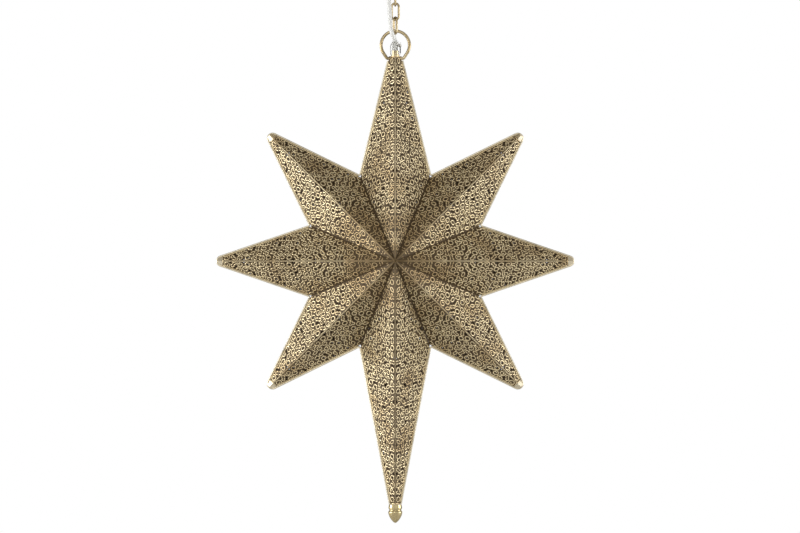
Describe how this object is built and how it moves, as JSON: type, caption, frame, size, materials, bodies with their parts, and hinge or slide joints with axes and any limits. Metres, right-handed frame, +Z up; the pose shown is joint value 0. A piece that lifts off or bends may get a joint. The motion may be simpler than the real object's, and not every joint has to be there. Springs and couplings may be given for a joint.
{
  "type": "star pendant",
  "caption": "Faceted pierced-metal star pendant light with ridged points on both faces, hung by a ring and short chain from a round ceiling cup.",
  "frame": {"origin": "on the ceiling plane, on the axis of the chain, where the ceiling cup meets the ceiling", "axes": "+Z up into the ceiling; the front of the star faces -Y; +X to the right as seen from the front"},
  "size_m": [0.4552, 0.15, 0.747],
  "materials": {
    "antique_brass": "aged, darkened in the corners, rubbed bright on the edges",
    "polished_brass": "polished",
    "plated_steel": "zinc plated",
    "clear_plastic": "clear, glossy",
    "black_holder": "moulded",
    "white_plastic": "moulded",
    "opal_glass": "opal, satin"
  },
  "bodies": {
    "ceiling_fitting": {"ceiling_cup": "antique_brass", "ceiling_strap": "plated_steel", "strap_nuts": "plated_steel", "ceiling_nipple": "polished_brass", "collar_ring": "antique_brass", "ceiling_loop": "antique_brass", "cord_bushing": "white_plastic", "terminal_block": "white_plastic"},
    "chain_link_1": {"chain_link_1": "antique_brass"},
    "chain_link_2": {"chain_link_2": "antique_brass"},
    "chain_link_3": {"chain_link_3": "antique_brass"},
    "chain_link_4": {"chain_link_4": "antique_brass"},
    "ring": {"hanging_ring": "antique_brass"},
    "star": {"front_sheet_right": "antique_brass", "front_sheet_upper_right": "antique_brass", "front_sheet_top": "antique_brass", "front_sheet_upper_left": "antique_brass", "front_sheet_left": "antique_brass", "front_sheet_lower_left": "antique_brass", "front_sheet_bottom": "antique_brass", "front_sheet_lower_right": "antique_brass", "back_sheet_upper_right": "antique_brass", "back_sheet_top": "antique_brass", "back_sheet_upper_left": "antique_brass", "back_sheet_left": "antique_brass", "back_sheet_lower_left": "antique_brass", "back_sheet_bottom": "antique_brass", "back_sheet_lower_right": "antique_brass", "rim_frame": "antique_brass", "star_head": "antique_brass", "star_foot": "antique_brass", "finial": "polished_brass", "finial_stud": "plated_steel", "stem_tube": "polished_brass", "stem_nut": "polished_brass", "cord_grip": "clear_plastic", "grip_screw": "plated_steel", "lampholder_cap": "black_holder", "lampholder_shell": "black_holder", "lampholder_sleeve": "polished_brass", "lampholder_contact": "plated_steel", "bulb_cap": "plated_steel", "bulb_glass": "opal_glass", "door_hinge_fixed": "antique_brass", "door_hinge_pins": "antique_brass", "supply_cord": "clear_plastic"},
    "door": {"access_door": "antique_brass", "door_knob": "polished_brass", "door_hinge_moving": "antique_brass"}
  },
  "joints": [
    {"name": "chain_link_1_swing", "type": "hinge", "parent": "ceiling_fitting", "child": "chain_link_1", "pos_m": [0, 0, -0.055], "axis": [0, 1, 0], "range_deg": [-15, 15], "deforming": ["supply_cord"]},
    {"name": "chain_link_2_swing", "type": "hinge", "parent": "chain_link_1", "child": "chain_link_2", "pos_m": [0, 0, -0.07225], "axis": [1, 0, 0], "range_deg": [-15, 15], "deforming": ["supply_cord"]},
    {"name": "chain_link_3_swing", "type": "hinge", "parent": "chain_link_2", "child": "chain_link_3", "pos_m": [0, 0, -0.0901], "axis": [0, 1, 0], "range_deg": [-15, 15], "deforming": ["supply_cord"]},
    {"name": "chain_link_4_swing", "type": "hinge", "parent": "chain_link_3", "child": "chain_link_4", "pos_m": [0, 0, -0.10795], "axis": [1, 0, 0], "range_deg": [-15, 15], "deforming": ["supply_cord"]},
    {"name": "ring_swing", "type": "hinge", "parent": "chain_link_4", "child": "ring", "pos_m": [0, 0, -0.1258], "axis": [0.4067, -0.9135, 0], "range_deg": [-15, 15], "deforming": ["supply_cord"]},
    {"name": "star_tilt", "type": "hinge", "parent": "ring", "child": "star", "pos_m": [0, 0, -0.15705], "axis": [1, 0, 0], "range_deg": [-20, 20], "deforming": ["supply_cord"]},
    {"name": "access_door_hinge", "type": "hinge", "parent": "star", "child": "door", "pos_m": [0.10815, 0.0036, -0.36999], "axis": [0.9462, 0, -0.3236], "range_deg": [0, 80]}
  ]
}
